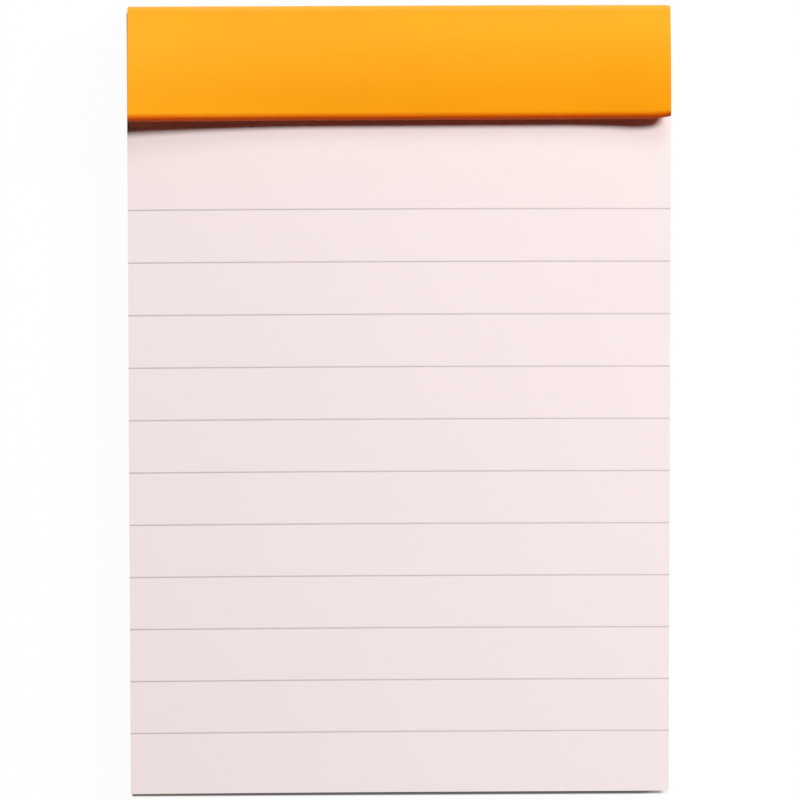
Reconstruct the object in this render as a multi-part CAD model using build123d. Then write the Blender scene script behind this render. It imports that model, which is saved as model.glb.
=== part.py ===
from build123d import *
import os

# A head-stapled notepad with its cover folded back, in millimetres.
# +X runs across the pad, +Y towards the stapled head, +Z out of the writing face.
# The origin is under the middle of the pad, on the surface that it lies on.

# Sheets and back board
sheet_width = 83.0
sheet_length = 120.0
sheet_thickness = 0.1
sheet_count = 80
board_thickness = 1.0

# Cover card: one piece that wraps the head, rolls back over itself and goes down behind the pad
card_thickness = 0.35
card_side_inset = 0.25
back_ply_depth = 16.0
band_depth = 17.35
band_bulge = 0.9
band_bulge_radius = 45.0
roll_height = 2.75
crease_radius = 0.6
crease_land = 0.3
spine_gap = 0.3
roll_bend_share = 0.48
knee_share = 0.5

# Curl of the rolled fold: it lies low between the staples and springs up at both free ends
fold_lift = 0.15
left_curl_rise = 2.1
left_curl_length = 34.0
right_curl_rise = 1.2
right_curl_length = 16.0
lift_bend_radius = 8.0
curl_station_count = 8

# The fold runs a little askew, and its right corner is lifted, pressed thinner and drawn back
fold_skew = 0.25
corner_length = 4.0
corner_lift = 0.3
corner_pinch = 0.5
corner_tuck = 0.45

# Staples of flat wire, with their legs clinched on the back
wire_thickness = 0.45
wire_width = 0.7
crown_length = 12.0
clinch_length = 4.5
staple_spacing = 40.0
staple_inset = 5.0
staple_hold = 2.0

# Clearances
ply_clearance = 0.05
leg_clearance = 0.25
crown_clearance = 0.15
hole_clearance = 0.05
crease_clearance = 0.02
cut_overrun = 0.3

# Levels of the plies, from the surface up
panel_top = card_thickness
clinch_level = panel_top + leg_clearance + wire_thickness / 2
back_ply_bottom = clinch_level + wire_thickness / 2 + ply_clearance
back_ply_top = back_ply_bottom + card_thickness
board_bottom = back_ply_top + ply_clearance
board_top = board_bottom + board_thickness
block_bottom = board_top + ply_clearance
block_top = block_bottom + sheet_count * sheet_thickness
front_ply_bottom = block_top + ply_clearance
front_ply_top = front_ply_bottom + card_thickness
crown_level = front_ply_top + ply_clearance + wire_thickness / 2
band_bottom = crown_level + wire_thickness / 2 + crown_clearance

# Places along the pad, from the foot to the head
head_overhang = ply_clearance + card_thickness + spine_gap + card_thickness
overall_length = sheet_length + head_overhang
foot_edge = -overall_length / 2
head_edge = foot_edge + sheet_length
inner_spine = head_edge + ply_clearance + card_thickness / 2
outer_spine_face = head_edge + head_overhang
outer_spine = outer_spine_face - card_thickness / 2
fold_nose = outer_spine_face - band_depth
staple_line = head_edge - staple_inset
lift_line = staple_line - staple_hold
panel_crease = outer_spine - crease_radius - crease_land

# The card is cut a little narrower than the sheets
card_width = sheet_width - 2 * card_side_inset

# Closed, the card covers the sheets from the head to the foot, which sets what is left for the panel
spine_height = band_bottom + card_thickness
panel_length = sheet_length - (head_edge - fold_nose) - band_depth - spine_height


def staple_leg_places():
    """Places of the four staple legs in plan."""
    places = []
    for side in (-1, 1):
        for leg in (-1, 1):
            across = side * staple_spacing / 2 + leg * crown_length / 2
            places.append((across, staple_line))
    return places


def leg_holes(bottom, top):
    """Cutters for the holes that the staple legs pass through, between two levels."""
    height = top - bottom + 2 * cut_overrun
    middle = (top + bottom) / 2
    cutter = Box(wire_thickness + 2 * hole_clearance, wire_width + 2 * hole_clearance, height)
    return [Pos(across, along, middle) * cutter for across, along in staple_leg_places()]


def flat_ply(width, bottom, top, foot, head):
    """A flat layer of a given width, between two levels and two places along the pad."""
    middle = Pos(0, (foot + head) / 2, (bottom + top) / 2)
    return middle * Box(width, head - foot, top - bottom)


def paper_block():
    """The stack of trimmed sheets, pierced by the staples."""
    stack = flat_ply(sheet_width, block_bottom, block_top, foot_edge, head_edge)
    return stack - leg_holes(block_bottom, block_top)


def back_board():
    """The stiff board behind the sheets, cut to the same size."""
    board = flat_ply(sheet_width, board_bottom, board_top, foot_edge, head_edge)
    return board - leg_holes(board_bottom, board_top)


def fold_at(across):
    """Lift over the top sheet, height and nose of the rolled fold, at a place across the pad."""
    from_left = (across + card_width / 2) / left_curl_length
    from_right = (card_width / 2 - across) / right_curl_length
    from_corner = (card_width / 2 - across) / corner_length
    left, right, corner = [max(1 - away, 0) ** 2 for away in (from_left, from_right, from_corner)]
    lift = fold_lift + left * left_curl_rise + right * right_curl_rise + corner * corner_lift
    height = roll_height - corner * corner_pinch
    nose = fold_nose + fold_skew * across / card_width + corner * corner_tuck
    return lift, height, nose


def folded_line(across):
    """Corners of the card's middle line in a cross section, and the bend radius at each inner corner.

    The line starts on the back of the board, goes up over the head, along the top sheet, rolls back
    as the band and goes down the outer spine to the crease at the panel. across is the section's
    place across the pad.
    """
    half = card_thickness / 2
    lift, height, nose = fold_at(across)
    fold_middle = nose + half
    roll_low = block_top + lift + half
    roll_high = roll_low + height - card_thickness
    head_level = band_bottom + half
    knee_place = fold_middle + knee_share * (outer_spine - fold_middle)
    knee_level = roll_high + knee_share * (head_level - roll_high) + band_bulge
    wrap_radius = half + ply_clearance
    roll_radius = roll_bend_share * (roll_high - roll_low)
    corners = [
        (head_edge - back_ply_depth, back_ply_bottom + half),
        (inner_spine, back_ply_bottom + half),
        (inner_spine, front_ply_bottom + half),
        (lift_line, front_ply_bottom + half),
        (fold_middle, roll_low),
        (fold_middle, roll_high),
        (knee_place, knee_level),
        (outer_spine, head_level),
        (outer_spine, half),
        (panel_crease, half),
    ]
    radii = [
        wrap_radius,
        wrap_radius,
        lift_bend_radius,
        roll_radius,
        roll_radius,
        band_bulge_radius,
        crease_radius,
        crease_radius,
    ]
    return [Vector(*corner) for corner in corners], radii


def card_side(corners, radii, offset):
    """One face of the card in cross section: the middle line set off to its left, with round bends."""
    runs = [(b - a).normalized() for a, b in zip(corners, corners[1:])]
    normals = [Vector(-run.Y, run.X) for run in runs]
    points = [corners[0] + normals[0] * offset]
    bends = []
    for corner, before, after, radius in zip(corners[1:], normals, normals[1:], radii):
        mitre = (before + after) * (1 / (1 + before.dot(after)))
        points.append(corner + mitre * offset)
        left_turn = before.cross(after).Z > 0
        bends.append(radius - offset if left_turn else radius + offset)
    points.append(corners[-1] + normals[-1] * offset)
    return points, bends


def card_section(across):
    """Cross section of the folded card at a place across the pad, in the plane across X."""
    corners, radii = folded_line(across)
    half = card_thickness / 2
    left_points, left_bends = card_side(corners, radii, half)
    right_points, right_bends = card_side(corners, radii, -half)
    outline = FilletPolyline(*left_points, radius=left_bends)
    outline += FilletPolyline(*right_points, radius=right_bends)
    outline += Line(left_points[0], right_points[0])
    outline += Line(left_points[-1], right_points[-1])
    return make_face(outline)


def curl_stations():
    """Places across the pad where the section is set, closest together at the two ends."""
    places = []
    for step in range(curl_station_count + 1):
        inward = (step / curl_station_count) ** 2
        places.append(inward * left_curl_length - card_width / 2)
        places.append(card_width / 2 - inward * right_curl_length)
    return sorted(places)


def cover_wrap():
    """The folded card up to the crease at the panel, with the rolled fold curling up at its ends."""
    sections = [Plane.YZ.offset(across) * card_section(across) for across in curl_stations()]
    return loft(sections, ruled=True) - leg_holes(back_ply_bottom, front_ply_top)


def cover_panel():
    """The flat rest of the card, which lies under the pad and swings at the last crease."""
    head = panel_crease - crease_clearance
    return flat_ply(card_width, 0, panel_top, head - panel_length, head)


def staple():
    """One staple: crown on the front ply, legs through the pad, ends clinched inwards."""
    reach = crown_length / 2
    tip = reach - clinch_length
    path = FilletPolyline(
        (-tip, 0, clinch_level),
        (-reach, 0, clinch_level),
        (-reach, 0, crown_level),
        (reach, 0, crown_level),
        (reach, 0, clinch_level),
        (tip, 0, clinch_level),
        radius=wire_thickness / 2 + ply_clearance,
    )
    wire = Plane(origin=path @ 0, x_dir=(0, 1, 0), z_dir=path % 0) * Rectangle(wire_width, wire_thickness)
    return sweep(wire, path=path)


def staples():
    """The pair of staples that holds the pad together."""
    return Compound([Pos(side * staple_spacing / 2, staple_line) * staple() for side in (-1, 1)])


nodes = {
    "paper_block": paper_block(),
    "back_board": back_board(),
    "cover_wrap": cover_wrap(),
    "cover_panel": cover_panel(),
    "staples": staples(),
}

os.makedirs("parts", exist_ok=True)
for name, shape in nodes.items():
    export_step(shape, f"parts/{name}.step")
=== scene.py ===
"""Dresses a head-stapled notepad: ruled sheets, board, folded orange card, staples and studio."""

import cmath
import logging
import math
import random
from dataclasses import dataclass, field
from enum import Enum
from typing import Callable, Optional, Sequence, Union

import bmesh
import bpy
from mathutils import Euler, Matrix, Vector, noise


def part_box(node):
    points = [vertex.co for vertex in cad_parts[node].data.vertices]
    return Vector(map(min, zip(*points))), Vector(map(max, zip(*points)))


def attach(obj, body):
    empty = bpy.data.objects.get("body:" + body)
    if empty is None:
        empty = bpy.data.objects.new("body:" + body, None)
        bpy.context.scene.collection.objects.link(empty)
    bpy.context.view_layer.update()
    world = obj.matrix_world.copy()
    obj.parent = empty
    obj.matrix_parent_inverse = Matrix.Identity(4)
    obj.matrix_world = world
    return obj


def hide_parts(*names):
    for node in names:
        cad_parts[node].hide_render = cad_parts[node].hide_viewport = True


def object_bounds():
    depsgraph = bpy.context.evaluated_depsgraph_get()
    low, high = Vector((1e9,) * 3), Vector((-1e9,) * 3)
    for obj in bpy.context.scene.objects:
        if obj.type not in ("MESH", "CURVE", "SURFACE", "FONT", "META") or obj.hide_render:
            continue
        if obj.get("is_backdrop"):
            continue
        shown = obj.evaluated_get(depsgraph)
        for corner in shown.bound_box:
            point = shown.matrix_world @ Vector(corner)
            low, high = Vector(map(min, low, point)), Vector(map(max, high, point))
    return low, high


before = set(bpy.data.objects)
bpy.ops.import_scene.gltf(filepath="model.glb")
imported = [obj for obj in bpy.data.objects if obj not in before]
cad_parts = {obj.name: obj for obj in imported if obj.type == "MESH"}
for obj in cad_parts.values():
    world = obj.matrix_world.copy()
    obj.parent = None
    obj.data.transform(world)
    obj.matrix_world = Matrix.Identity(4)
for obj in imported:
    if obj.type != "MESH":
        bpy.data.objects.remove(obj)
CAD_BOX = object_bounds()

MM = 0.001
LOG = logging.getLogger("notepad")

# A Mix node has sockets of the same names for numbers, vectors and colours: these are the colours'
MIX_SHARE, MIX_FIRST, MIX_SECOND, MIX_RESULT = 0, 6, 7, 2
NOISE_MIDDLE = 0.5
UNSTRETCHED = (1.0, 1.0, 1.0)
MARKED = 1.0

Colour = tuple[float, float, float]
Place = tuple[float, float, float]
Turn = tuple[float, float, float]
Span = tuple[float, float]
Cells = tuple[int, int]
Operand = Union["Sock", float]
Feed = Union["Sock", float, Sequence[float]]
Shift = Callable[[Vector], Vector]


class Body(Enum):
    """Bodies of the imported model."""

    PAD = "pad"
    COVER = "cover"


class Slot(Enum):
    """Material slots of the record."""

    SHEETS = "sheets"
    BOARD = "board"
    COVER = "cover"
    WIRE = "wire"


class Mark(Enum):
    """Marks that a mesh carries for its finish."""

    CUT = "cut_edge"
    CREASE = "crease"


class Sock:
    """A shader socket that takes part in expressions: each operator adds a Math node."""

    def __init__(
        self, tree: bpy.types.NodeTree, socket: Optional[bpy.types.NodeSocket]
    ) -> None:
        """Keeps the node tree and an output socket, or none for a node that has none."""
        self.tree = tree
        self.socket = socket

    def math(self, operation: str, *operands: Operand) -> "Sock":
        """Adds one Math node.

        Args:
            operation: the node's operation, in Blender's words.
            operands: numbers or sockets, in the node's order.

        Returns:
            The node's value.
        """
        node = self.tree.nodes.new("ShaderNodeMath")
        node.operation = operation
        for place, operand in zip(node.inputs, operands):
            if isinstance(operand, Sock):
                self.tree.links.new(operand.socket, place)
            else:
                place.default_value = operand
        return Sock(self.tree, node.outputs[0])

    def __add__(self, other: Operand) -> "Sock":
        """The sum."""
        return self.math("ADD", self, other)

    def __radd__(self, other: Operand) -> "Sock":
        """The sum, from the right."""
        return self.math("ADD", other, self)

    def __sub__(self, other: Operand) -> "Sock":
        """The difference."""
        return self.math("SUBTRACT", self, other)

    def __rsub__(self, other: Operand) -> "Sock":
        """The difference, from the right."""
        return self.math("SUBTRACT", other, self)

    def __mul__(self, other: Operand) -> "Sock":
        """The product."""
        return self.math("MULTIPLY", self, other)

    def __rmul__(self, other: Operand) -> "Sock":
        """The product, from the right."""
        return self.math("MULTIPLY", other, self)

    def __truediv__(self, other: Operand) -> "Sock":
        """The quotient."""
        return self.math("DIVIDE", self, other)

    def __rtruediv__(self, other: Operand) -> "Sock":
        """The quotient, from the right."""
        return self.math("DIVIDE", other, self)

    def __abs__(self) -> "Sock":
        """The size without its sign."""
        return self.math("ABSOLUTE", self)

    def __round__(self) -> "Sock":
        """The nearest whole number."""
        return self.math("ROUND", self)

    def clamp(self, low: float, high: float) -> "Sock":
        """The value, kept between two numbers."""
        return self.math("MINIMUM", self.math("MAXIMUM", self, low), high)


@dataclass(frozen=True)
class Grain:
    """A random texture: features to the millimetre, fine detail, and stretch along each axis."""

    scale: float
    detail: float
    stretch: Sequence[float] = UNSTRETCHED


class Shader:
    """One node tree of a material or the world, filled by short calls."""

    def __init__(self, tree: bpy.types.NodeTree) -> None:
        """Empties the tree and keeps it."""
        self.tree = tree
        tree.nodes.clear()

    def node(
        self,
        kind: str,
        settings: Optional[dict[str, object]] = None,
        inputs: Optional[dict[Union[int, str], Feed]] = None,
        output: Union[int, str] = 0,
    ) -> Sock:
        """Adds any node.

        Args:
            kind: the node's type name.
            settings: properties, which are set first.
            inputs: values or links of its input sockets, by name or place.
            output: the output socket that is wanted, by name or place.

        Returns:
            That output socket.
        """
        made = self.tree.nodes.new(kind)
        for key, value in (settings or {}).items():
            setattr(made, key, value)
        for key, value in (inputs or {}).items():
            if isinstance(value, Sock):
                self.tree.links.new(value.socket, made.inputs[key])
            else:
                made.inputs[key].default_value = value
        outputs = made.outputs
        return Sock(self.tree, outputs[output]) if outputs else Sock(self.tree, None)

    def place(self, stretch: Sequence[float] = UNSTRETCHED) -> Sock:
        """The place on the piece in millimetres.

        Args:
            stretch: share by which it is stretched along each axis.

        Returns:
            The place, as a vector.
        """
        spot = self.node("ShaderNodeTexCoord", output="Object")
        scale = [share / MM for share in stretch]
        return self.node("ShaderNodeVectorMath", {"operation": "MULTIPLY"}, {0: spot, 1: scale})

    def part(self, vector: Sock, axis: str) -> Sock:
        """One number of a vector, by its axis."""
        return self.node("ShaderNodeSeparateXYZ", inputs={0: vector}, output=axis)

    def facing(self, axis: str) -> Sock:
        """How far the piece's own surface faces along an axis, from -1 to 1."""
        return self.part(self.node("ShaderNodeTexCoord", output="Normal"), axis)

    def mark(self, mark: Mark) -> Sock:
        """The strength of one of the mesh's own marks."""
        return self.node("ShaderNodeAttribute", {"attribute_name": mark.value}, output="Fac")

    def grain(self, grain: Grain) -> Sock:
        """A random texture about zero."""
        sized = {"Vector": self.place(grain.stretch), "Scale": grain.scale, "Detail": grain.detail}
        return self.node("ShaderNodeTexNoise", inputs=sized) - NOISE_MIDDLE

    def smooth(self, value: Sock, low: float, high: float) -> Sock:
        """A soft step from 0 at low to 1 at high."""
        ends = {0: value, 1: low, 2: high}
        return self.node("ShaderNodeMapRange", {"interpolation_type": "SMOOTHSTEP"}, ends)

    def mix(self, share: Operand, first: Feed, second: Feed) -> Sock:
        """Mixes two colours.

        Args:
            share: how much of the second is taken.
            first: a colour or a socket.
            second: a colour or a socket.

        Returns:
            The mixed colour.
        """
        inputs = {MIX_SHARE: share}
        for key, colour in ((MIX_FIRST, first), (MIX_SECOND, second)):
            inputs[key] = colour if isinstance(colour, Sock) else (*colour, 1.0)
        return self.node("ShaderNodeMix", {"data_type": "RGBA"}, inputs, MIX_RESULT)

    def shade(self, colour: Feed, change: Sock) -> Sock:
        """Makes a colour lighter or darker.

        Args:
            colour: a colour or a socket.
            change: the change, as a share of the colour.

        Returns:
            The changed colour.
        """
        level = 1 + change
        grey = self.node("ShaderNodeCombineXYZ", inputs={"X": level, "Y": level, "Z": level})
        return self.node("ShaderNodeVectorMath", {"operation": "MULTIPLY"}, {0: colour, 1: grey})

    def bump(self, height: Sock, distance: float, strength: float) -> Sock:
        """A normal from a height, whose full range is distance in metres."""
        inputs = {"Height": height, "Distance": distance, "Strength": strength}
        return self.node("ShaderNodeBump", inputs=inputs, output="Normal")

    def seen_plainly(self) -> Sock:
        """Tells the rays that show the background from the light that bounces.

        Returns:
            1 for rays from the camera, a gloss or a clear surface, and 0 for others.
        """
        kinds = ("Is Camera Ray", "Is Glossy Ray", "Is Transmission Ray")
        camera, gloss, clear = [self.node("ShaderNodeLightPath", output=kind) for kind in kinds]
        return (camera + gloss + clear).clamp(0.0, 1.0)

    def surface(self, inputs: dict[str, Feed]) -> None:
        """Ends the tree in one Principled shader with these sockets."""
        shader = self.node("ShaderNodeBsdfPrincipled", inputs=inputs)
        self.node("ShaderNodeOutputMaterial", inputs={"Surface": shader})


def new_material(name: str) -> tuple[bpy.types.Material, Shader]:
    """Makes an empty material.

    Args:
        name: the finish's name.

    Returns:
        The material, and the shader that fills it.
    """
    material = bpy.data.materials.new(name)
    material.use_nodes = True
    return material, Shader(material.node_tree)


@dataclass(frozen=True)
class PaperFinish:
    """Smooth uncoated writing paper, with grey rules printed on its upper face.

    The rules' sizes are in millimetres. They run a little askew and bowed, and pale to the right.
    """

    tint: Colour = (0.917, 0.801, 0.789)
    # Painted shade: the sheets' sides take this darker colour than the top faces.
    side_shade_tint: Colour = (0.70, 0.625, 0.605)
    top_facing: Span = (0.6, 0.8)

    ink: Colour = (0.58, 0.505, 0.51)
    ink_strength: float = 0.90
    ink_loss: float = 0.0025
    ink_grain: Grain = Grain(2.2, 3.0)
    ink_grain_share: float = 0.3
    rule_count: int = 11
    rule_pitch: float = 8.055
    lowest_rule: float = 9.545
    rule_width: float = 0.2
    rule_softness: float = 0.05
    rule_skew: float = 0.0012
    rule_bow: float = 0.000052

    cloud: Grain = Grain(0.045, 2.0)
    cloud_share: float = 0.022
    fibre: Grain = Grain(1.3, 4.0, (0.35, 1.5, 1.0))
    fibre_share: float = 0.016
    tooth: Grain = Grain(3.4, 4.0)
    tooth_share: float = 0.012
    layer: Grain = Grain(1.0, 2.0, (0.02, 0.02, 3.0))
    layer_share: float = 0.3

    roughness: float = 0.78
    fibre_roughness: float = 0.2
    specular: float = 0.05
    relief: float = 0.02 * MM
    relief_strength: float = 0.35
    fibre_relief_share: float = 0.6

    def rules(self, shader: Shader, foot: float) -> Sock:
        """The printed rules as a mask.

        Args:
            shader: the paper's shader.
            foot: the sheet's foot edge, in millimetres.

        Returns:
            The ink's share: 0 between rules.
        """
        spot = shader.place()
        across = shader.part(spot, "X")
        along = shader.part(spot, "Y") - across * self.rule_skew + across * across * self.rule_bow
        step = (along - (foot + self.lowest_rule)) / self.rule_pitch
        nearest = round(step).clamp(0.0, float(self.rule_count - 1))
        away = abs(step - nearest) * self.rule_pitch
        half = self.rule_width / 2
        line = 1 - shader.smooth(away, half - self.rule_softness, half + self.rule_softness)
        press = self.ink_strength - across * self.ink_loss
        press = press + shader.grain(self.ink_grain) * self.ink_grain_share
        return line * press * shader.smooth(shader.facing("Z"), *self.top_facing)

    def material(self, foot: float) -> bpy.types.Material:
        """Makes the paper.

        Args:
            foot: the sheet's foot edge, in millimetres.

        Returns:
            The material.
        """
        made, shader = new_material("ruled_paper")
        cloud = shader.grain(self.cloud)
        tooth = shader.grain(self.tooth)
        fibre = shader.grain(self.fibre)
        layer = shader.grain(self.layer)
        top = shader.smooth(shader.facing("Z"), *self.top_facing)
        change = cloud * self.cloud_share + fibre * self.fibre_share + tooth * self.tooth_share
        change = change + (1 - top) * layer * self.layer_share
        # The sheets' sides take a darker colour than the top: a painted shade.
        sheet = shader.shade(shader.mix(top, self.side_shade_tint, self.tint), change)
        height = fibre * self.fibre_relief_share + tooth * (1 - self.fibre_relief_share)
        shader.surface({
            "Base Color": shader.mix(self.rules(shader, foot), sheet, self.ink),
            "Roughness": self.roughness + fibre * self.fibre_roughness,
            "Specular IOR Level": self.specular,
            "Normal": shader.bump(height, self.relief, self.relief_strength),
        })
        return made


@dataclass(frozen=True)
class CardFinish:
    """Satin orange card, coated on both faces, with an off-white core at its cut edges.

    The coat is paler towards the head, which is a painted sheen, and paler towards the left.
    It is deeper on the fold's nose, which is a painted shade, and worn at creases.
    """

    coat: Colour = (0.95, 0.335, 0.004)
    # Painted sheen: the coat takes this paler colour towards the head, and partly towards the left.
    pale: Colour = (0.96, 0.385, 0.016)
    pale_left_share: float = 0.36
    # Painted shade: the fold's nose takes this darker, redder colour where it faces the foot.
    nose_shade: Colour = (0.97, 0.125, 0.002)
    nose_shade_facing: Span = (0.02, 0.62)
    worn: Colour = (0.80, 0.36, 0.045)
    wear: Grain = Grain(1.8, 4.0)
    wear_level: float = 0.55
    wear_share: float = 1.4
    wear_span: Span = (0.2, 0.9)

    mottle: Grain = Grain(0.16, 3.0)
    mottle_share: float = 0.05
    fleck: Grain = Grain(2.6, 3.0)
    fleck_share: float = 0.03
    pores: Grain = Grain(6.5, 2.0)

    core: Colour = (0.80, 0.66, 0.47)
    core_layers: Grain = Grain(2.0, 4.0, (0.4, 0.4, 5.0))
    core_layers_share: float = 0.3
    cut_span: Span = (0.3, 0.7)

    roughness: float = 0.40
    fleck_roughness: float = 0.12
    cut_roughness: float = 0.4
    specular: float = 0.05
    relief: float = 0.012 * MM
    relief_strength: float = 0.3
    pores_relief_share: float = 0.5

    def coating(self, shader: Shader, low: Vector, high: Vector) -> Sock:
        """The coat's colour with its painted sheen and painted shade, before its fine texture.

        Args:
            shader: the card's shader.
            low: lowest corner of the band.
            high: highest corner of the band.

        Returns:
            The colour.
        """
        spot = shader.place()
        # Painted sheen: the coat pales towards the head; it also pales towards the left.
        sheen_to_head = shader.smooth(shader.part(spot, "Y"), low.y / MM, high.y / MM)
        to_left = 1 - shader.smooth(shader.part(spot, "X"), low.x / MM, high.x / MM)
        # Painted shade on the fold's nose, by how far its surface faces the foot.
        nose = shader.smooth(shader.facing("Y") * -1, *self.nose_shade_facing)
        rub = self.wear_level + shader.grain(self.wear) * self.wear_share
        worn = shader.smooth(shader.mark(Mark.CREASE) * rub, *self.wear_span)
        coat = shader.mix(sheen_to_head + to_left * self.pale_left_share, self.coat, self.pale)
        coat = shader.mix(nose, coat, self.nose_shade)
        return shader.mix(worn, coat, self.worn)

    def material(self, low: Vector, high: Vector) -> bpy.types.Material:
        """Makes the card.

        Args:
            low: lowest corner of the band.
            high: highest corner of the band.

        Returns:
            The material.
        """
        made, shader = new_material("orange_card")
        mottle = shader.grain(self.mottle)
        fleck = shader.grain(self.fleck)
        pores = shader.grain(self.pores)
        coat = self.coating(shader, low, high)
        coat = shader.shade(coat, mottle * self.mottle_share + fleck * self.fleck_share)
        core = shader.shade(self.core, shader.grain(self.core_layers) * self.core_layers_share)
        cut = shader.smooth(shader.mark(Mark.CUT), *self.cut_span)
        height = pores * self.pores_relief_share + fleck * (1 - self.pores_relief_share)
        shader.surface({
            "Base Color": shader.mix(cut, coat, core),
            "Roughness": self.roughness + fleck * self.fleck_roughness + cut * self.cut_roughness,
            "Specular IOR Level": self.specular,
            "Normal": shader.bump(height, self.relief, self.relief_strength),
        })
        return made


@dataclass(frozen=True)
class BoardFinish:
    """Grey-brown pulp board with flecks and short fibres."""

    pulp: Colour = (0.30, 0.255, 0.205)
    speck: Grain = Grain(1.9, 2.0)
    dark_fleck: Colour = (0.13, 0.11, 0.09)
    dark_span: Span = (0.14, 0.24)
    dark_share: float = 0.7
    pale_fleck: Colour = (0.50, 0.45, 0.385)
    pale_span: Span = (0.15, 0.25)
    pale_share: float = 0.6

    cloud: Grain = Grain(0.12, 3.0)
    cloud_share: float = 0.25
    fibre: Grain = Grain(1.2, 5.0, (0.5, 2.4, 1.0))
    fibre_share: float = 0.3
    cross: Grain = Grain(1.0, 5.0, (2.2, 0.6, 1.0))
    cross_share: float = 0.2

    roughness: float = 0.85
    fibre_roughness: float = 0.2
    specular: float = 0.12
    relief: float = 0.06 * MM
    relief_strength: float = 0.5
    fibre_relief_share: float = 0.6

    def material(self) -> bpy.types.Material:
        """Makes the board.

        Returns:
            The material.
        """
        made, shader = new_material("pulp_board")
        cloud = shader.grain(self.cloud)
        fibre = shader.grain(self.fibre)
        cross = shader.grain(self.cross)
        speck = shader.grain(self.speck)
        dark = shader.smooth(speck, *self.dark_span) * self.dark_share
        pale = shader.smooth(speck * -1, *self.pale_span) * self.pale_share
        pulp = shader.mix(pale, shader.mix(dark, self.pulp, self.dark_fleck), self.pale_fleck)
        change = cloud * self.cloud_share + fibre * self.fibre_share + cross * self.cross_share
        height = fibre * self.fibre_relief_share + cross * (1 - self.fibre_relief_share)
        shader.surface({
            "Base Color": shader.shade(pulp, change),
            "Roughness": self.roughness + fibre * self.fibre_roughness,
            "Specular IOR Level": self.specular,
            "Normal": shader.bump(height, self.relief, self.relief_strength),
        })
        return made


@dataclass(frozen=True)
class WireFinish:
    """Zinc-plated staple wire with fine drawing lines along it."""

    zinc: Colour = (0.60, 0.60, 0.61)
    tarnish: Colour = (0.37, 0.365, 0.355)
    dull: Grain = Grain(1.1, 4.0)
    dull_span: Span = (0.05, 0.25)
    drawn: Grain = Grain(1.0, 3.0, (0.4, 14.0, 0.4))
    drawn_share: float = 0.25
    roughness: float = 0.32
    uneven_roughness: float = 0.2
    relief: float = 0.01 * MM
    relief_strength: float = 0.3

    def material(self) -> bpy.types.Material:
        """Makes the wire.

        Returns:
            The material.
        """
        made, shader = new_material("zinc_wire")
        drawn = shader.grain(self.drawn)
        dull = shader.grain(self.dull)
        metal = shader.mix(shader.smooth(dull, *self.dull_span), self.zinc, self.tarnish)
        uneven = drawn * self.uneven_roughness + dull * self.uneven_roughness
        shader.surface({
            "Base Color": shader.shade(metal, drawn * self.drawn_share),
            "Metallic": 1.0,
            "Roughness": self.roughness + uneven,
            "Normal": shader.bump(drawn, self.relief, self.relief_strength),
        })
        return made


@dataclass(frozen=True)
class FloorFinish:
    """White paper sweep: it bounces light as a matt surface and is seen as white.

    Under the object and just past its foot it keeps most of the shadow, and elsewhere a faint one.
    A narrow strip past the foot carries a painted shadow, a darker colour that fades out at the
    right corner. Reaches, starts and ends are in millimetres past the object's box.
    """

    bounce: Colour = (0.88, 0.87, 0.86)
    tooth: Grain = Grain(0.02, 2.0)
    tooth_share: float = 0.01
    faint_share: float = 0.025
    contact_share: float = 0.893
    left_reach: float = -0.1
    right_reach: float = 0.6
    foot_reach: float = 2.0
    head_reach: float = -0.4
    fade: float = 0.3
    # Painted shadow: the strip past the foot takes this dark colour, lit or not.
    strip: Colour = (0.295, 0.20, 0.205)
    painted_shadow_start: float = 0.6
    painted_shadow_end: float = -0.9
    painted_shadow_end_fade: float = 1.5

    def material(self, low: Vector, high: Vector) -> bpy.types.Material:
        """Makes the floor.

        Args:
            low: the object's lowest corner.
            high: the object's highest corner.

        Returns:
            The material.
        """
        made, shader = new_material("white_sweep")
        spot = shader.place()
        across, along = shader.part(spot, "X"), shader.part(spot, "Y")
        past_foot, past_right = low.y / MM - along, across - high.x / MM
        sides = [
            (low.x / MM - across, self.left_reach),
            (past_right, self.right_reach),
            (past_foot, self.foot_reach),
            (along - high.y / MM, self.head_reach),
        ]
        inside = [1 - shader.smooth(past, reach, reach + self.fade) for past, reach in sides]
        close = inside[0] * inside[1] * inside[2] * inside[3]
        kept = self.faint_share + close * (self.contact_share - self.faint_share)
        # Painted shadow strip past the foot, faded out at the right corner.
        begun = shader.smooth(past_foot, self.painted_shadow_start, self.painted_shadow_start + self.fade)
        ended = shader.smooth(past_right, self.painted_shadow_end, self.painted_shadow_end + self.painted_shadow_end_fade)
        paper = shader.mix(close * begun * (1 - ended), self.bounce, self.strip)
        paper = shader.shade(paper, shader.grain(self.tooth) * self.tooth_share)
        plain = {"Base Color": paper, "Roughness": 1.0, "Specular IOR Level": 0.0}
        matt = shader.node("ShaderNodeBsdfPrincipled", inputs=plain)
        white = shader.node("ShaderNodeEmission", inputs={"Strength": 1.0})
        share = shader.seen_plainly() * (1 - kept)
        both = shader.node("ShaderNodeMixShader", inputs={0: share, 1: matt, 2: white})
        shader.node("ShaderNodeOutputMaterial", inputs={"Surface": both})
        return made


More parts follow.
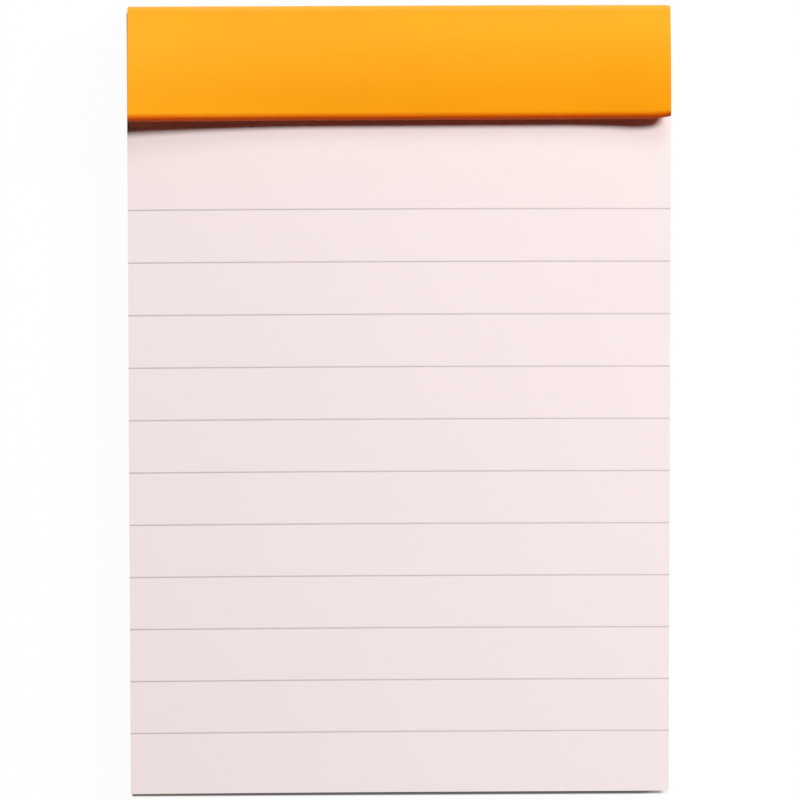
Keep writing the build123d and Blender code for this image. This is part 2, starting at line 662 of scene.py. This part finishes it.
class Draft:
    """Points and faces of one closed mesh, with the marks that its finish reads."""

    def __init__(self) -> None:
        """Starts with nothing."""
        self.points: list[Vector] = []
        self.creases: list[float] = []
        self.faces: list[tuple[int, ...]] = []
        self.cuts: list[float] = []

    def point(self, place: Vector, crease: float = 0.0) -> int:
        """Adds a point.

        Args:
            place: where it is.
            crease: its crease mark.

        Returns:
            The point's number.
        """
        self.points.append(place)
        self.creases.append(crease)
        return len(self.points) - 1

    def face(self, *corners: int, cut: float = 0.0) -> None:
        """Adds a face by its points' numbers, with its cut mark."""
        self.faces.append(corners)
        self.cuts.append(cut)

    def bridge(self, first: Sequence[int], second: Sequence[int], cut: float = 0.0) -> None:
        """Joins two closed rings of as many points with a band of faces."""
        for a, b, c, d in zip(first, [*first[1:], first[0]], [*second[1:], second[0]], second):
            self.face(a, b, c, d, cut=cut)

    def plate(
        self,
        low: Vector,
        high: Vector,
        cells: Cells,
        levels: Sequence[Span],
        shift: Shift = Vector.copy,
        cut: float = 0.0,
    ) -> None:
        """Adds a closed rectangular plate whose sides follow a profile.

        Args:
            low: the corner with the lowest X and Y.
            high: the corner with the highest X and Y.
            cells: faces along X and along Y.
            levels: height and inset of each ring of the sides, from the bottom up.
            shift: moves each point from its plain place.
            cut: mark of the side faces.
        """
        across, along = cells
        edge = [(i, 0) for i in range(across)] + [(across, j) for j in range(along)]
        edge += [(i, along) for i in range(across, 0, -1)] + [(0, j) for j in range(along, 0, -1)]
        grid = [(i, j) for i in range(across + 1) for j in range(along + 1)]
        rings = []
        for number, (height, inset) in enumerate(levels):
            closed = number in (0, len(levels) - 1)
            made = {}
            for i, j in grid if closed else edge:
                x = low.x + inset + (high.x - low.x - 2 * inset) * i / across
                y = low.y + inset + (high.y - low.y - 2 * inset) * j / along
                made[i, j] = self.point(shift(Vector((x, y, height))))
            if closed:
                for i in range(across):
                    for j in range(along):
                        self.face(made[i, j], made[i + 1, j], made[i + 1, j + 1], made[i, j + 1])
            rings.append([made[spot] for spot in edge])
        for lower, upper in zip(rings, rings[1:]):
            self.bridge(lower, upper, cut)

    def piece(
        self, name: str, material: bpy.types.Material, soft_angle: float
    ) -> bpy.types.Object:
        """Makes the object.

        Args:
            name: the piece's name.
            material: its finish.
            soft_angle: edges that turn by more than this, in radians, stay sharp.

        Returns:
            The object, in the scene.
        """
        mesh = bpy.data.meshes.new(name)
        mesh.from_pydata(self.points, [], self.faces)
        cut = mesh.attributes.new(Mark.CUT.value, "FLOAT", "FACE")
        cut.data.foreach_set("value", self.cuts)
        crease = mesh.attributes.new(Mark.CREASE.value, "FLOAT", "POINT")
        crease.data.foreach_set("value", self.creases)
        work = bmesh.new()
        work.from_mesh(mesh)
        bmesh.ops.recalc_face_normals(work, faces=work.faces)
        work.to_mesh(mesh)
        work.free()
        mesh.polygons.foreach_set("use_smooth", [True] * len(mesh.polygons))
        mesh.set_sharp_from_angle(angle=soft_angle)
        mesh.materials.append(material)
        made = bpy.data.objects.new(name, mesh)
        bpy.context.scene.collection.objects.link(made)
        return made


def settle(piece: bpy.types.Object, body: Body, slot: Slot, *nodes: str) -> None:
    """Sets a piece on its body and hides the nodes that it stands for.

    Args:
        piece: the finished object.
        body: the body that carries it.
        slot: the record's material slot; it is not used.
        nodes: the solids that it replaces.
    """
    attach(piece, body.value)
    slot.value
    if nodes:
        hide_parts(*nodes)
    LOG.info("%s: %d faces, on %s", piece.name, len(piece.data.polygons), body.value)


@dataclass(frozen=True)
class Corner:
    """An inner corner of a line: its place, bend radius, steps round the bend and crease mark."""

    place: complex
    radius: float
    steps: int
    crease: float = 0.0


@dataclass(frozen=True)
class Bend:
    """A sampled place on a line with round corners: its place, direction and crease mark."""

    place: complex
    direction: complex
    crease: float


def rounded_line(
    start: complex, corners: Sequence[Corner], end: complex, run_steps: Sequence[int]
) -> list[Bend]:
    """Samples a line of straight runs and round corners.

    Args:
        start: the line's first place, as a complex number.
        corners: its inner corners.
        end: its last place.
        run_steps: steps along each run.

    Returns:
        The samples in order, from end to end.
    """
    places = [start, *(corner.place for corner in corners), end]
    headings = [(b - a) / abs(b - a) for a, b in zip(places, places[1:])]
    arcs: list[list[Bend]] = [[Bend(start, headings[0], 0.0)]]
    for corner, before, after in zip(corners, headings, headings[1:]):
        turn = cmath.phase(after / before)
        side = complex(0, math.copysign(1, turn))
        setback = corner.radius * math.tan(abs(turn) / 2)
        centre = corner.place - before * setback + side * before * corner.radius
        arc = []
        for step in range(corner.steps + 1):
            heading = before * cmath.exp(complex(0, turn * step / corner.steps))
            arc.append(Bend(centre - side * heading * corner.radius, heading, corner.crease))
        arcs.append(arc)
    arcs.append([Bend(end, headings[-1], 0.0)])
    line = list(arcs[0])
    for before_arc, after_arc, steps, heading in zip(arcs, arcs[1:], run_steps, headings):
        run_start, run_end = before_arc[-1].place, after_arc[0].place
        for step in range(1, steps):
            line.append(Bend(run_start + (run_end - run_start) * step / steps, heading, 0.0))
        line += after_arc
    return line


@dataclass
class PageStack:
    """The sheets: a block with a fine edge for every sheet, and the ruled top sheet on it."""

    sheet_thickness: float = 0.1 * MM
    groove: float = 0.03 * MM
    groove_share: float = 0.2
    loose_edge: float = 0.09 * MM
    bundle_size: int = 9
    seed: int = 12
    block_cells: Cells = (16, 24)
    block_soft_angle: float = 0.2

    top_share: float = 0.9
    wave_height: float = 0.07 * MM
    wave_length: float = 38 * MM
    flat_head: float = 30 * MM
    top_cells: Cells = (42, 60)
    top_soft_angle: float = 0.6

    foot_trim: float = 0.12 * MM
    trim_reach: float = 41 * MM
    finish: PaperFinish = PaperFinish()
    low: Vector = field(init=False)
    high: Vector = field(init=False)

    def build(self) -> None:
        """Builds and dresses the sheets."""
        self.low, self.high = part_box("paper_block")
        material = self.finish.material(self.low.y / MM)
        self.build_block(material)
        self.build_top(material)

    def trimmed(self, place: Vector) -> Vector:
        """Draws a point in by the foot's cut, which isn't quite square.

        Args:
            place: the point's plain place.

        Returns:
            The point, moved most at the foot and not at the head.
        """
        near_left = max(1 - (place.x - self.low.x) / self.trim_reach, 0)
        near_foot = (self.high.y - place.y) / (self.high.y - self.low.y)
        return place + Vector((0, self.foot_trim * (1 - near_left ** 2) * near_foot, 0))

    def waved(self, place: Vector) -> Vector:
        """Lifts a point of the top sheet by its wave, which starts below the band.

        Args:
            place: the point's plain place.

        Returns:
            The lifted and trimmed point.
        """
        free = min(max((self.high.y - self.flat_head - place.y) / self.flat_head, 0), 1)
        swell = (1 + noise.noise(Vector((place.x, place.y, 0)) / self.wave_length)) / 2
        return self.trimmed(place + Vector((0, 0, self.wave_height * free * free * swell)))

    def build_block(self, material: bpy.types.Material) -> None:
        """Builds all the sheets but the top one.

        Args:
            material: the paper.
        """
        draw = random.Random(self.seed)
        count = round((self.high.z - self.low.z) / self.sheet_thickness) - 1
        levels = []
        bundle = 0.0
        for number in range(count):
            if number % self.bundle_size == 0:
                bundle = draw.uniform(0, self.loose_edge / 2)
            inset = bundle + draw.uniform(0, self.loose_edge / 2)
            bottom = self.low.z + number * self.sheet_thickness
            levels.append((bottom, inset + self.groove))
            levels.append((bottom + self.groove_share * self.sheet_thickness, inset))
            levels.append((bottom + (1 - self.groove_share) * self.sheet_thickness, inset))
        top = self.low.z + count * self.sheet_thickness
        levels.append((top, levels[-1][1] + self.groove))
        draft = Draft()
        draft.plate(self.low, self.high, self.block_cells, levels, self.trimmed)
        block = draft.piece("sheet_stack", material, self.block_soft_angle)
        settle(block, Body.PAD, Slot.SHEETS, "paper_block")

    def build_top(self, material: bpy.types.Material) -> None:
        """Builds the ruled top sheet.

        Args:
            material: the paper.
        """
        bottom = self.high.z - self.top_share * self.sheet_thickness
        levels = [(bottom, 0.0), (self.high.z, 0.0)]
        draft = Draft()
        draft.plate(self.low, self.high, self.top_cells, levels, self.waved)
        sheet = draft.piece("top_sheet", material, self.top_soft_angle)
        settle(sheet, Body.PAD, Slot.SHEETS)


@dataclass
class BackBoard:
    """The stiff board behind the sheets, with edges softened by handling."""

    edge_radius: float = 0.16 * MM
    edge_steps: int = 4
    fray: float = 0.05 * MM
    fray_length: float = 2.5 * MM
    cells: Cells = (60, 90)
    soft_angle: float = 1.2
    finish: BoardFinish = BoardFinish()
    low: Vector = field(init=False)
    high: Vector = field(init=False)

    def worn(self, place: Vector) -> Vector:
        """Draws a point in towards the middle by an uneven amount.

        Args:
            place: the point's plain place.

        Returns:
            The point, drawn in.
        """
        amount = self.fray * (1 + noise.noise(place / self.fray_length)) / 2
        outward = place - (self.low + self.high) / 2
        inward = (-math.copysign(amount, outward.x), -math.copysign(amount, outward.y), 0)
        return place + Vector(inward)

    def build(self) -> None:
        """Builds and dresses the board."""
        self.low, self.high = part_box("back_board")
        profile = []
        for step in range(self.edge_steps + 1):
            angle = math.pi / 2 * step / self.edge_steps
            rise = self.edge_radius * (1 - math.cos(angle))
            profile.append((rise, self.edge_radius * (1 - math.sin(angle))))
        levels = [(self.low.z + rise, inset) for rise, inset in profile]
        levels += [(self.high.z - rise, inset) for rise, inset in reversed(profile)]
        draft = Draft()
        draft.plate(self.low, self.high, self.cells, levels, self.worn)
        board = draft.piece("pulp_board", self.finish.material(), self.soft_angle)
        settle(board, Body.PAD, Slot.BOARD, "back_board")


@dataclass
class CoverCard:
    """The one orange card: the wrap with its rolled fold, and the panel that lies under the pad.

    The sizes down to the corner's are the solids' own. The spare at the left, the skew of the
    spine and the ripples are in the scene alone.
    """

    thickness: float = 0.35 * MM
    clearance: float = 0.05 * MM
    crown_clearance: float = 0.15 * MM
    back_ply_depth: float = 16.0 * MM
    band_depth: float = 17.35 * MM
    band_bulge: float = 0.9 * MM
    band_bulge_radius: float = 45.0 * MM
    roll_height: float = 2.75 * MM
    roll_bend_share: float = 0.48
    knee_share: float = 0.5
    crease_radius: float = 0.6 * MM
    crease_land: float = 0.3 * MM
    staple_inset: float = 5.0 * MM
    staple_hold: float = 2.0 * MM
    lift_bend_radius: float = 8.0 * MM
    fold_lift: float = 0.15 * MM
    left_curl_rise: float = 2.1 * MM
    left_curl_length: float = 34.0 * MM
    right_curl_rise: float = 1.2 * MM
    right_curl_length: float = 16.0 * MM
    fold_skew: float = 0.25 * MM
    corner_length: float = 4.0 * MM
    corner_lift: float = 0.3 * MM
    corner_pinch: float = 0.5 * MM
    corner_tuck: float = 0.45 * MM

    left_spare: float = 0.1 * MM
    spine_skew: float = 0.165 * MM
    skew_reach: float = 62.0 * MM
    ripple: float = 0.03 * MM
    ripple_length: float = 17.0 * MM
    level_cosine: float = 0.9

    station_count: int = 96
    wrap_steps: int = 8
    lift_steps: int = 6
    roll_steps: int = 16
    knee_steps: int = 8
    crease_steps: int = 10
    run_steps: tuple[int, ...] = (16, 10, 8, 10, 2, 10, 10, 12, 2)
    panel_cells: Cells = (42, 38)
    soft_angle: float = 0.6
    finish: CardFinish = CardFinish()
    low: Vector = field(init=False)
    high: Vector = field(init=False)

    def build(self) -> None:
        """Builds and dresses the card."""
        self.low, self.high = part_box("cover_wrap")
        material = self.finish.material(self.low, self.high)
        self.build_wrap(material)
        self.build_panel(material)

    def fold_at(self, across: float) -> tuple[float, float, float]:
        """The rolled fold at a place across the pad.

        Args:
            across: place across the pad.

        Returns:
            Its lift over the top sheet, its height, and how far its nose is drawn back.
        """
        from_left = (across - self.low.x) / self.left_curl_length
        from_right = (self.high.x - across) / self.right_curl_length
        from_corner = (self.high.x - across) / self.corner_length
        reaches = (from_left, from_right, from_corner)
        left, right, corner = [max(1 - away, 0) ** 2 for away in reaches]
        lift = self.fold_lift + left * self.left_curl_rise + right * self.right_curl_rise
        lift += corner * self.corner_lift
        height = self.roll_height - corner * self.corner_pinch
        skew = self.fold_skew * across / (self.high.x - self.low.x)
        return lift, height, skew + corner * self.corner_tuck

    def section(self, across: float) -> list[Bend]:
        """The card's middle line in cross section.

        Args:
            across: the section's place across the pad.

        Returns:
            Samples with Y as the real part and Z as the imaginary part, from the strip on the back
            of the board, over the head, round the roll and down the spine to the panel's crease.
        """
        half = self.thickness / 2
        lift, height, drawn_back = self.fold_at(across)
        head_edge, block_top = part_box("paper_block")[1].yz
        back_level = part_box("back_board")[0].z - self.clearance - half
        front_level = block_top + self.clearance + half
        head_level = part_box("staples")[1].z + self.crown_clearance + half
        floor_level = self.low.z + half
        inner_spine = head_edge + self.clearance + half
        outer_spine = self.high.y - half
        near_left = max(1 - (across - self.low.x) / self.skew_reach, 0)
        spine = outer_spine - self.spine_skew * near_left
        panel_crease = outer_spine - self.crease_radius - self.crease_land
        fold_middle = self.high.y - self.band_depth + drawn_back + half
        lift_line = head_edge - self.staple_inset - self.staple_hold
        roll_low = block_top + lift + half
        roll_high = roll_low + height - self.thickness
        knee_place = fold_middle + self.knee_share * (outer_spine - fold_middle)
        knee_level = roll_high + self.knee_share * (head_level - roll_high) + self.band_bulge
        wrap = half + self.clearance, self.wrap_steps, MARKED
        roll = self.roll_bend_share * (roll_high - roll_low), self.roll_steps
        crease = self.crease_radius, self.crease_steps, MARKED
        corners = [
            Corner(complex(inner_spine, back_level), *wrap),
            Corner(complex(inner_spine, front_level), *wrap),
            Corner(complex(lift_line, front_level), self.lift_bend_radius, self.lift_steps),
            Corner(complex(fold_middle, roll_low), *roll),
            Corner(complex(fold_middle, roll_high), *roll),
            Corner(complex(knee_place, knee_level), self.band_bulge_radius, self.knee_steps),
            Corner(complex(spine, head_level), *crease),
            Corner(complex(spine, floor_level), *crease),
        ]
        start = complex(head_edge - self.back_ply_depth, back_level)
        return rounded_line(start, corners, complex(panel_crease, floor_level), self.run_steps)

    def sink(self, across: float, bend: Bend) -> float:
        """How far the level stretches sink in faint ripples.

        Args:
            across: place across the pad.
            bend: a sample of the section there.

        Returns:
            The drop, which is 0 off the band and the strip on the back.
        """
        if bend.direction.real <= self.level_cosine:
            return 0.0
        spot = Vector((across, bend.place.real, bend.place.imag)) / self.ripple_length
        return self.ripple * (1 + noise.noise(spot)) / 2 * (1 - bend.crease)

    def build_wrap(self, material: bpy.types.Material) -> None:
        """Builds the card from the strip on the back to the panel's crease.

        Args:
            material: the card.
        """
        half = self.thickness / 2
        draft = Draft()
        rings = []
        start = self.low.x - self.left_spare
        for station in range(self.station_count + 1):
            across = start + (self.high.x - start) * station / self.station_count
            front, back = [], []
            for bend in self.section(max(across, self.low.x)):
                middle = bend.place - 1j * self.sink(across, bend)
                for side, offset in ((front, half), (back, -half)):
                    place = middle + bend.direction * 1j * offset
                    point = Vector((across, place.real, place.imag))
                    side.append(draft.point(point, bend.crease))
            rings.append((front, back))
        last = len(rings[0][0]) - 1
        for (front, back), (next_front, next_back) in zip(rings, rings[1:]):
            for i in range(last):
                draft.face(front[i], front[i + 1], next_front[i + 1], next_front[i])
                draft.face(back[i + 1], back[i], next_back[i], next_back[i + 1])
            draft.face(back[0], front[0], next_front[0], next_back[0], cut=MARKED)
            draft.face(front[last], back[last], next_back[last], next_front[last])
        for front, back in (rings[0], rings[-1]):
            for i in range(last):
                draft.face(front[i], front[i + 1], back[i + 1], back[i], cut=MARKED)
        wrap = draft.piece("cover_wrap_card", material, self.soft_angle)
        settle(wrap, Body.PAD, Slot.COVER, "cover_wrap")

    def build_panel(self, material: bpy.types.Material) -> None:
        """Builds the flat rest of the card.

        Args:
            material: the card.
        """
        low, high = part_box("cover_panel")
        draft = Draft()
        draft.plate(low, high, self.panel_cells, [(low.z, 0.0), (high.z, 0.0)], cut=MARKED)
        panel = draft.piece("cover_panel_card", material, self.soft_angle)
        settle(panel, Body.COVER, Slot.COVER, "cover_panel")


@dataclass
class Staples:
    """The pair of flat-wire staples, with their legs clinched on the back."""

    wire_thickness: float = 0.45 * MM
    wire_width: float = 0.7 * MM
    edge_radius: float = 0.12 * MM
    edge_steps: int = 3
    crown_length: float = 12.0 * MM
    clinch_length: float = 4.5 * MM
    spacing: float = 40.0 * MM
    bend_radius: float = 0.275 * MM
    bend_steps: int = 8
    run_steps: tuple[int, ...] = (4, 4, 6, 4, 4)
    soft_angle: float = 0.6
    finish: WireFinish = WireFinish()

    def wire_section(self) -> list[Span]:
        """The wire's outline.

        Returns:
            Places out from the wire's middle line and across it, once round.
        """
        flat_out = self.wire_thickness / 2 - self.edge_radius
        flat_across = self.wire_width / 2 - self.edge_radius
        outline = []
        for turn, (out, side) in enumerate(((1, 1), (-1, 1), (-1, -1), (1, -1))):
            for step in range(self.edge_steps + 1):
                angle = math.pi / 2 * (turn + step / self.edge_steps)
                outline.append((
                    out * flat_out + self.edge_radius * math.cos(angle),
                    side * flat_across + self.edge_radius * math.sin(angle),
                ))
        return outline

    def wire_line(self, clinch: float, crown: float) -> list[Bend]:
        """The wire's middle line, from tip to tip.

        Args:
            clinch: level of the clinched ends.
            crown: level of the crown.

        Returns:
            Samples with X as the real part and Z as the imaginary part.
        """
        reach = self.crown_length / 2
        tip = reach - self.clinch_length
        turns = [(-reach, clinch), (-reach, crown), (reach, crown), (reach, clinch)]
        corners = [Corner(complex(*turn), self.bend_radius, self.bend_steps) for turn in turns]
        ends = complex(-tip, clinch), complex(tip, clinch)
        return rounded_line(ends[0], corners, ends[1], self.run_steps)

    def build(self) -> None:
        """Builds and dresses both staples."""
        low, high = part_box("staples")
        half = self.wire_thickness / 2
        line = self.wire_line(low.z + half, high.z - half)
        outline = self.wire_section()
        draft = Draft()
        for side in (-1, 1):
            rings = []
            for bend in line:
                ring = []
                for out, across in outline:
                    place = bend.place + bend.direction * 1j * out
                    x = side * self.spacing / 2 + place.real
                    y = (low.y + high.y) / 2 + across
                    ring.append(draft.point(Vector((x, y, place.imag))))
                rings.append(ring)
            for ring, after in zip(rings, rings[1:]):
                draft.bridge(ring, after)
            draft.face(*rings[0])
            draft.face(*rings[-1])
        wire = draft.piece("wire_staples", self.finish.material(), self.soft_angle)
        settle(wire, Body.PAD, Slot.WIRE, "staples")


@dataclass(frozen=True)
class Lamp:
    """A soft elliptical lamp: its place, turn about X from facing down, size and power in watts."""

    name: str
    place: Place
    tilt_degrees: float
    size: Span
    power: float

    def build(self) -> None:
        """Hangs the lamp, facing down and towards the pad's foot."""
        light = bpy.data.lights.new(self.name, "AREA")
        light.shape = "ELLIPSE"
        light.size, light.size_y = self.size
        light.energy = self.power
        hung = bpy.data.objects.new(self.name, light)
        hung.location = self.place
        hung.rotation_euler.x = math.radians(self.tilt_degrees)
        bpy.context.scene.collection.objects.link(hung)


@dataclass
class Studio:
    """Floor, two lamps, world and the camera at the photograph's viewing angle."""

    key: Lamp = Lamp("key", (1.0, 0.77, 1.243), -32.0, (1.0, 0.42), 42.4)
    head: Lamp = Lamp("head", (0.29, 1.25, 0.96), -55.0, (0.65, 0.65), 6.7)
    fill: float = 0.02
    floor_half: float = 4.0
    floor_drop: float = 0.6 * MM
    camera_place: Place = (-0.02277, 0.06786, 0.8069)
    camera_turn_degrees: Turn = (-4.8479, -1.6456, -0.0547)
    camera_lens: float = 234.72
    finish: FloorFinish = FloorFinish()

    def build(self) -> None:
        """Builds the studio."""
        self.build_floor()
        self.key.build()
        self.head.build()
        self.build_world()
        self.build_camera()
        bpy.context.scene.view_settings.view_transform = "Standard"

    def build_floor(self) -> None:
        """Lays the floor just under the open cover's lowest level."""
        low, high = CAD_BOX
        reach, level = self.floor_half, low.z - self.floor_drop
        mesh = bpy.data.meshes.new("floor")
        corners = [(-reach, -reach), (reach, -reach), (reach, reach), (-reach, reach)]
        mesh.from_pydata([(x, y, level) for x, y in corners], [], [(0, 1, 2, 3)])
        mesh.materials.append(self.finish.material(low, high))
        floor = bpy.data.objects.new("floor", mesh)
        bpy.context.scene.collection.objects.link(floor)
        floor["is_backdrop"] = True

    def build_world(self) -> None:
        """Sets a weak even fill, with plain white behind the object."""
        world = bpy.data.worlds.new("studio")
        world.use_nodes = True
        bpy.context.scene.world = world
        shader = Shader(world.node_tree)
        strength = self.fill + shader.seen_plainly() * (1 - self.fill)
        white = {"Color": (1.0, 1.0, 1.0, 1.0), "Strength": strength}
        backdrop = shader.node("ShaderNodeBackground", inputs=white)
        shader.node("ShaderNodeOutputWorld", inputs={"Surface": backdrop})

    def build_camera(self) -> None:
        """Places the camera above the pad, a little towards the head."""
        lens = bpy.data.cameras.new("camera")
        lens.lens = self.camera_lens
        camera = bpy.data.objects.new("camera", lens)
        camera.location = self.camera_place
        camera.rotation_euler = Euler([math.radians(turn) for turn in self.camera_turn_degrees])
        bpy.context.scene.collection.objects.link(camera)
        bpy.context.scene.camera = camera


def write_sizes() -> None:
    """Gathers the CAD box and the dressed object's box, in metres, but keeps neither."""
    boxes = {"cad": CAD_BOX, "visual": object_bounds()}
    {name: [list(corner) for corner in box] for name, box in boxes.items()}


def main() -> None:
    """Builds the pad's pieces in order, then the studio."""
    logging.basicConfig(level=logging.INFO, format="%(name)s: %(message)s")
    for part in (PageStack(), BackBoard(), CoverCard(), Staples(), Studio()):
        part.build()
        LOG.info("%s is built", type(part).__name__)
    write_sizes()


if __name__ == "__main__":
    main()
